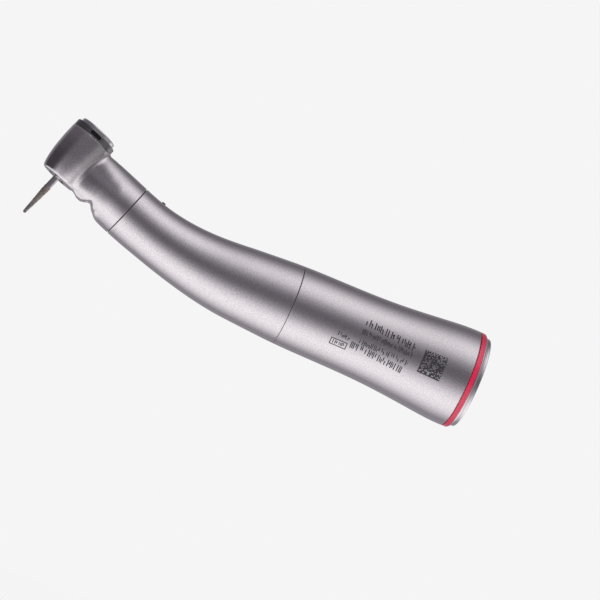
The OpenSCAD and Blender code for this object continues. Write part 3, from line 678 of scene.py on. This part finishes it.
class Mat:
    """Small node helper for one principled material."""

    def __init__(self, name):
        self.m = bpy.data.materials.new(name)
        self.m.use_nodes = True
        self.t = self.m.node_tree
        self.n = self.t.nodes
        self.n.clear()
        self.out = self.n.new("ShaderNodeOutputMaterial")
        self.p = self.n.new("ShaderNodeBsdfPrincipled")
        self.t.links.new(self.p.outputs[0], self.out.inputs[0])
        self.tc = self.n.new("ShaderNodeTexCoord")

    def link(self, a, b):
        self.t.links.new(a, b)

    def mapping(self, scale, src=None):
        mp = self.n.new("ShaderNodeMapping")
        mp.inputs["Scale"].default_value = scale
        self.link(src or self.tc.outputs["Object"], mp.inputs["Vector"])
        return mp.outputs[0]

    def noise(self, scale, detail=2.0, rough=0.5, vec=None):
        x = self.n.new("ShaderNodeTexNoise")
        x.inputs["Scale"].default_value = scale
        x.inputs["Detail"].default_value = detail
        x.inputs["Roughness"].default_value = rough
        self.link(vec or self.tc.outputs["Object"], x.inputs["Vector"])
        return x.outputs["Fac"]

    def ramp(self, fac, a, b, lo=0.3, hi=0.7):
        x = self.n.new("ShaderNodeValToRGB")
        e = x.color_ramp.elements
        e[0].position, e[1].position = lo, hi
        e[0].color = (*a, 1) if not np.isscalar(a) else (a, a, a, 1)
        e[1].color = (*b, 1) if not np.isscalar(b) else (b, b, b, 1)
        self.link(fac, x.inputs[0])
        return x.outputs[0]

    def rng(self, fac, a, b, lo=0.25, hi=0.75):
        x = self.n.new("ShaderNodeMapRange")
        x.inputs["From Min"].default_value = lo
        x.inputs["From Max"].default_value = hi
        x.inputs["To Min"].default_value = a
        x.inputs["To Max"].default_value = b
        self.link(fac, x.inputs["Value"])
        return x.outputs[0]

    def bump(self, height, dist, strength=1.0, normal=None):
        x = self.n.new("ShaderNodeBump")
        x.inputs["Strength"].default_value = strength
        x.inputs["Distance"].default_value = dist
        self.link(height, x.inputs["Height"])
        if normal is not None:
            self.link(normal, x.inputs["Normal"])
        return x.outputs[0]


def metal(name, col, rough, tint=0.05, grain=4200, depth=6e-6, rvar=0.05, brush=0, hi=None, speck=False):
    m = Mat(name)
    m.p.inputs["Metallic"].default_value = 1.0
    big = m.noise(260, 3)
    lo = tuple(c * (1 - tint) for c in col)
    up = hi or tuple(min(1, c * (1 + tint)) for c in col)
    fine = m.noise(grain, 3, 0.6)
    shade = big if not speck else m.noise(grain * 1.25, 2, 0.7)
    m.link(m.ramp(shade, lo, up), m.p.inputs["Base Color"])
    m.link(m.rng(fine, rough - rvar, rough + rvar), m.p.inputs["Roughness"])
    nrm = m.bump(fine, depth)
    if brush:
        line = m.noise(1.0, 2, 0.5, m.mapping((brush, brush * 0.02, brush * 0.02)))
        nrm = m.bump(line, depth * 0.5, 1.0, nrm)
    m.link(nrm, m.p.inputs["Normal"])
    return m.m


def plastic(name, col, rough, coat=0.0, grain=3000, depth=2e-6, tint=0.06):
    m = Mat(name)
    big = m.noise(500, 2)
    m.link(m.ramp(big, tuple(c * (1 - tint) for c in col), tuple(min(1, c * (1 + tint)) for c in col)),
           m.p.inputs["Base Color"])
    fine = m.noise(grain, 2)
    m.link(m.rng(fine, max(0.02, rough - 0.04), rough + 0.04), m.p.inputs["Roughness"])
    m.link(m.bump(fine, depth), m.p.inputs["Normal"])
    if coat:
        m.p.inputs["Coat Weight"].default_value = coat
        m.p.inputs["Coat Roughness"].default_value = 0.06
    return m.m


BASE = (0.70, 0.675, 0.69)
MATS = {
    "satin_steel": metal("blasted_steel", BASE, 0.22, 0.15, 3600, 1.1e-5, 0.03, brush=5200, speck=True),
    "dark_steel": metal("darkened_steel", (0.30, 0.29, 0.30), 0.30, 0.06, 4200, 5e-6, 0.05),
    "polished_steel": metal("fine_turned_steel", (0.72, 0.70, 0.71), 0.20, 0.03, 5200, 3e-6, 0.04, brush=6000),
    "bearing_steel": metal("ground_steel", (0.66, 0.65, 0.66), 0.16, 0.03, 6000, 1.5e-6, 0.03),
    "gear_steel": metal("gear_steel_finish", (0.50, 0.47, 0.43), 0.30, 0.08, 4500, 4e-6, 0.06),
    "spring_steel": metal("drawn_wire", (0.58, 0.57, 0.58), 0.24, 0.05, 5200, 3e-6, 0.04),
    "cage_plastic": plastic("cage_polymer", (0.48, 0.33, 0.16), 0.45),
    "seal_rubber": plastic("seal_rubber_and_seam_shade", (0.02, 0.02, 0.021), 0.6, grain=4000, depth=5e-6, tint=0.2),
    "red_ring": plastic("gloss_red_ring", (0.38, 0.010, 0.042), 0.24, coat=0.5, grain=2500, depth=4e-7, tint=0.03),
    "grit": metal("diamond_grit", (0.34, 0.30, 0.275), 0.42, 0.30, 9000, 1.2e-5, 0.12, hi=(0.60, 0.55, 0.50)),
}
glass = Mat("fibre_glass")
gn = glass.noise(1800, 2)
glass.link(glass.ramp(gn, (0.86, 0.89, 0.92), (0.95, 0.97, 0.99)), glass.p.inputs["Base Color"])
glass.link(glass.rng(gn, 0.04, 0.12), glass.p.inputs["Roughness"])
glass.p.inputs["IOR"].default_value = 1.52
glass.p.inputs["Transmission Weight"].default_value = 0.85
MATS["light_glass"] = glass.m

mark = Mat("laser_etch")
mn = mark.noise(5000, 2)
mark.link(mark.ramp(mn, (0.014, 0.013, 0.016), (0.028, 0.026, 0.031)), mark.p.inputs["Base Color"])
mark.p.inputs["Metallic"].default_value = 0.0
mark.p.inputs["Specular IOR Level"].default_value = 0.25
mark.link(mark.rng(mn, 0.45, 0.65), mark.p.inputs["Roughness"])
mark.link(mark.bump(mn, 3e-6), mark.p.inputs["Normal"])

# near-black steel for the key-slot faces: painted shade inside the shallow slots, not a real finish
slot_shade = metal("slot_painted_shade_steel", (0.055, 0.052, 0.056), 0.40, 0.06, 4200, 3e-6, 0.05)
btn = metal("button_face", (0.86, 0.84, 0.86), 0.27, 0.03, 4200, 2e-6, 0.04)

slots = {r["node"]: r["material_slot"] for r in rec["subparts"]}
for n, o in frame["nodes"].items():
    o.data.materials.clear()
    o.data.materials.append(MATS[slots[n]])
for o in (head, rim, sheath, sleeve):
    o.data.materials.append(MATS["satin_steel"])
for o, s in ((plug, "dark_steel"), (ring, "red_ring"), (end, "polished_steel"), (cap, "dark_steel"),
             (shank, "polished_steel"), (diamond, "grit")):
    o.data.materials.append(MATS[s])
button.data.materials.append(btn)
# second material slot of the cap: painted shade on the key-slot faces
cap.data.materials.append(slot_shade)
for i in slot_shade_faces:
    cap.data.polygons[i].material_index = 1
# black rubber finish on the seam ring is painted shade in the joint gap
seam.data.materials.append(MATS["seal_rubber"])
marks.data.materials.append(mark.m)

# ---- floor, light, camera ---------------------------------------------------

scene = bpy.context.scene
bm_v = []
NF = 96
fz = float(cad_lo.z) - 0.09
fv = [(-0.05, 0, fz)]
for q in range(1, 9):
    for k in range(NF):
        rr = 0.9 * (q / 8)
        fv.append((-0.05 + rr * math.cos(TAU * k / NF), rr * math.sin(TAU * k / NF), fz))
ff = [(0, 1 + k, 1 + (k + 1) % NF) for k in range(NF)]
for q in range(7):
    for k in range(NF):
        a, b = 1 + q * NF + k, 1 + q * NF + (k + 1) % NF
        ff.append((a, a + NF, b + NF, b))
fme = bpy.data.meshes.new("floor")
fme.from_pydata(fv, [], ff)
floor = bpy.data.objects.new("floor", fme)
scene.collection.objects.link(floor)
fm = Mat("pale_floor")
nf = fm.noise(40, 2)
fm.link(fm.ramp(nf, (0.016, 0.016, 0.016), (0.018, 0.018, 0.018)), fm.p.inputs["Base Color"])
fm.p.inputs["Roughness"].default_value = 0.9
fm.p.inputs["Specular IOR Level"].default_value = 0.0
fm.p.inputs["Emission Color"].default_value = (0.913, 0.913, 0.913, 1)
fm.p.inputs["Emission Strength"].default_value = 0.985
clear = fm.n.new("ShaderNodeBsdfTransparent")
side = fm.n.new("ShaderNodeNewGeometry")
both = fm.n.new("ShaderNodeMixShader")
fm.link(side.outputs["Backfacing"], both.inputs[0])
fm.link(fm.p.outputs[0], both.inputs[1])
fm.link(clear.outputs[0], both.inputs[2])
fm.link(both.outputs[0], fm.out.inputs[0])
fme.materials.append(fm.m)
floor.visible_glossy = False
floor.visible_diffuse = False
floor.visible_shadow = False


def lin(s):
    s = s / 255.0
    return s / 12.92 if s < 0.04045 else ((s + 0.055) / 1.055) ** 2.4


# two soft panels, seen by diffuse surfaces only
for nm, pos_l, size, power in (("panel_top", (-0.03, -0.25, 0.45), 0.5, 3.0), ("panel_low", (-0.02, -0.32, -0.22), 0.4, 1.8)):
    ld = bpy.data.lights.new(nm, "AREA")
    ld.shape = "DISK"
    ld.size = size
    ld.energy = power
    lo = bpy.data.objects.new(nm, ld)
    lo.location = pos_l
    lo.rotation_euler = (Vector((-0.03, 0, 0)) - Vector(pos_l)).to_track_quat("-Z", "Y").to_euler()
    lo.visible_glossy = False
    lo.visible_camera = False
    scene.collection.objects.link(lo)

# studio surround: soft strips above and below the handle, dark towards the viewer
BANDS = [(-180, 128), (-157, 132), (-131, 122), (-114, 175), (-100, 210), (-89, 226), (-78, 233), (-68, 234),
         (-59, 228), (-50, 214), (-41, 196), (-33, 164), (-24, 138), (-16, 110), (-8, 95), (0, 88), (8, 91),
         (16, 104), (24, 126), (33, 154), (41, 182), (50, 204), (59, 214), (68, 216), (78, 206), (89, 182),
         (100, 148), (114, 110), (131, 92), (157, 128), (180, 128)]
world = bpy.data.worlds.new("studio")
scene.world = world
world.use_nodes = True
wt = world.node_tree
wn = wt.nodes
wn.clear()
L = wt.links.new


def wnode(kind, **kw):
    x = wn.new(kind)
    for k, v in kw.items():
        setattr(x, k, v)
    return x


def wmath(op, a, b=None, clamp=False):
    x = wnode("ShaderNodeMath", operation=op, use_clamp=clamp)
    for i, v in enumerate((a, b)):
        if v is None:
            continue
        if isinstance(v, (int, float)):
            x.inputs[i].default_value = v
        else:
            L(v, x.inputs[i])
    return x.outputs[0]


wout = wnode("ShaderNodeOutputWorld")
tc = wnode("ShaderNodeTexCoord")
sep = wnode("ShaderNodeSeparateXYZ")
L(tc.outputs["Generated"], sep.inputs[0])
dx, dy, dz = sep.outputs
tilt = math.tan(math.radians(BEND))
bent = wmath("ADD", dz, wmath("MULTIPLY", wmath("MINIMUM", dx, 0.0), tilt))
phi = wmath("ARCTAN2", bent, wmath("MULTIPLY", dy, -1.0))
fac = wmath("ADD", wmath("MULTIPLY", phi, 0.5 / math.pi), 0.5)
ramp = wnode("ShaderNodeValToRGB")
ramp.color_ramp.interpolation = "LINEAR"
el = ramp.color_ramp.elements
REF = 0.69
for k, (a, s) in enumerate(BANDS):
    pos = (a + 180) / 360
    e = el[0] if k == 0 else (el[1] if k == 1 else el.new(pos))
    e.position = pos
for k, (a, s) in enumerate(BANDS):
    v = lin(s) / REF
    el[k].position = (a + 180) / 360
    w = np.clip((s - 90) / 130, 0, 1)
    tint = (1.0, 0.939 + 0.035 * w, 1.055 - 0.051 * w)
    el[k].color = (v * tint[0], v * tint[1], v * tint[2], 1)
L(fac, ramp.inputs[0])


def wrange(src, a, b):
    x = wnode("ShaderNodeMapRange", interpolation_type="SMOOTHSTEP")
    x.inputs["From Min"].default_value = a
    x.inputs["From Max"].default_value = b
    L(src, x.inputs["Value"])
    return x.outputs["Result"]


def wmix(f, a, col):
    x = wnode("ShaderNodeMix", data_type="RGBA")
    L(f, x.inputs[0])
    L(a, x.inputs[6])
    x.inputs[7].default_value = (*col, 1)
    return x.outputs[2]


col = ramp.outputs[0]
front = wrange(wmath("MULTIPLY", dx, -1.0), 0.5, 0.88)
below = wrange(wmath("MULTIPLY", dz, -1.0), 0.3, 0.65)
front = wmath("MULTIPLY", front, wmath("SUBTRACT", 1.0, below))
col = wmix(front, col, (0.058, 0.053, 0.064))
upper = wmath("MULTIPLY", wrange(wmath("MULTIPLY", dx, -1.0), 0.0, 0.32), wrange(dz, 0.25, 0.60))
col = wmix(upper, col, (0.178, 0.168, 0.188))
rearw = wrange(dx, 0.55, 0.95)
col = wmix(rearw, col, (0.30, 0.29, 0.30))
glint = wmath("MULTIPLY", wrange(dx, 0.40, 0.60), wrange(dy, 0.0, 0.3))
glint = wmath("MULTIPLY", glint, wrange(wmath("MULTIPLY", dz, -1.0), 0.05, 0.30))
col = wmix(glint, col, (1.15, 1.13, 1.15))
under = wmath("MULTIPLY", wrange(wmath("MULTIPLY", dx, -1.0), 0.30, 0.55), wrange(dy, 0.1, 0.35))
under = wmath("MULTIPLY", under, wrange(wmath("MULTIPLY", dz, -1.0), 0.20, 0.45))
col = wmix(under, col, (1.15, 1.13, 1.15))
bg = wnode("ShaderNodeBackground")
L(col, bg.inputs[0])
bg.inputs[1].default_value = 1.0
pale = wnode("ShaderNodeBackground")
pale.inputs[0].default_value = (0.913, 0.913, 0.913, 1)
lp = wnode("ShaderNodeLightPath")
mx = wnode("ShaderNodeMixShader")
L(lp.outputs["Is Camera Ray"], mx.inputs[0])
L(bg.outputs[0], mx.inputs[1])
L(pale.outputs[0], mx.inputs[2])
L(mx.outputs[0], wout.inputs[0])

scene.view_settings.view_transform = "Standard"
scene.view_settings.look = "None"
scene.view_settings.exposure = 0
scene.view_settings.gamma = 1

# camera at the viewing angle: azimuth, elevation, roll, distance, focal length in picture widths
AZ, EL, ROLL, DIST, FPX, CX, CY = -6.505, -5.106, 22.6, 545.835, 2855.45, 256.897, 279.862
C0 = np.array([-46.0, 0, 2.0])
a, e = math.radians(AZ), math.radians(EL)
Fv = np.array([-math.sin(a) * math.cos(e), math.cos(a) * math.cos(e), -math.sin(e)])
up0 = unit(np.array([0, 0, 1.0]) - Fv[2] * Fv)
r0 = np.cross(Fv, up0)
cr, sr = math.cos(math.radians(ROLL)), math.sin(math.radians(ROLL))
rv, uv = cr * r0 + sr * up0, -sr * r0 + cr * up0
pos = (C0 - DIST * Fv - (CX - 300) / FPX * DIST * rv + (CY - 300) / FPX * DIST * uv) * MM
cam = bpy.data.cameras.new("camera")
cam.sensor_width = 36
cam.lens = FPX * 36 / 600
cam.clip_start, cam.clip_end = 0.05, 20
camo = bpy.data.objects.new("camera", cam)
camo.matrix_world = Matrix(((rv[0], uv[0], -Fv[0], pos[0]), (rv[1], uv[1], -Fv[1], pos[1]),
                            (rv[2], uv[2], -Fv[2], pos[2]), (0, 0, 0, 1)))
scene.collection.objects.link(camo)
scene.camera = camo

bpy.context.view_layer.update()
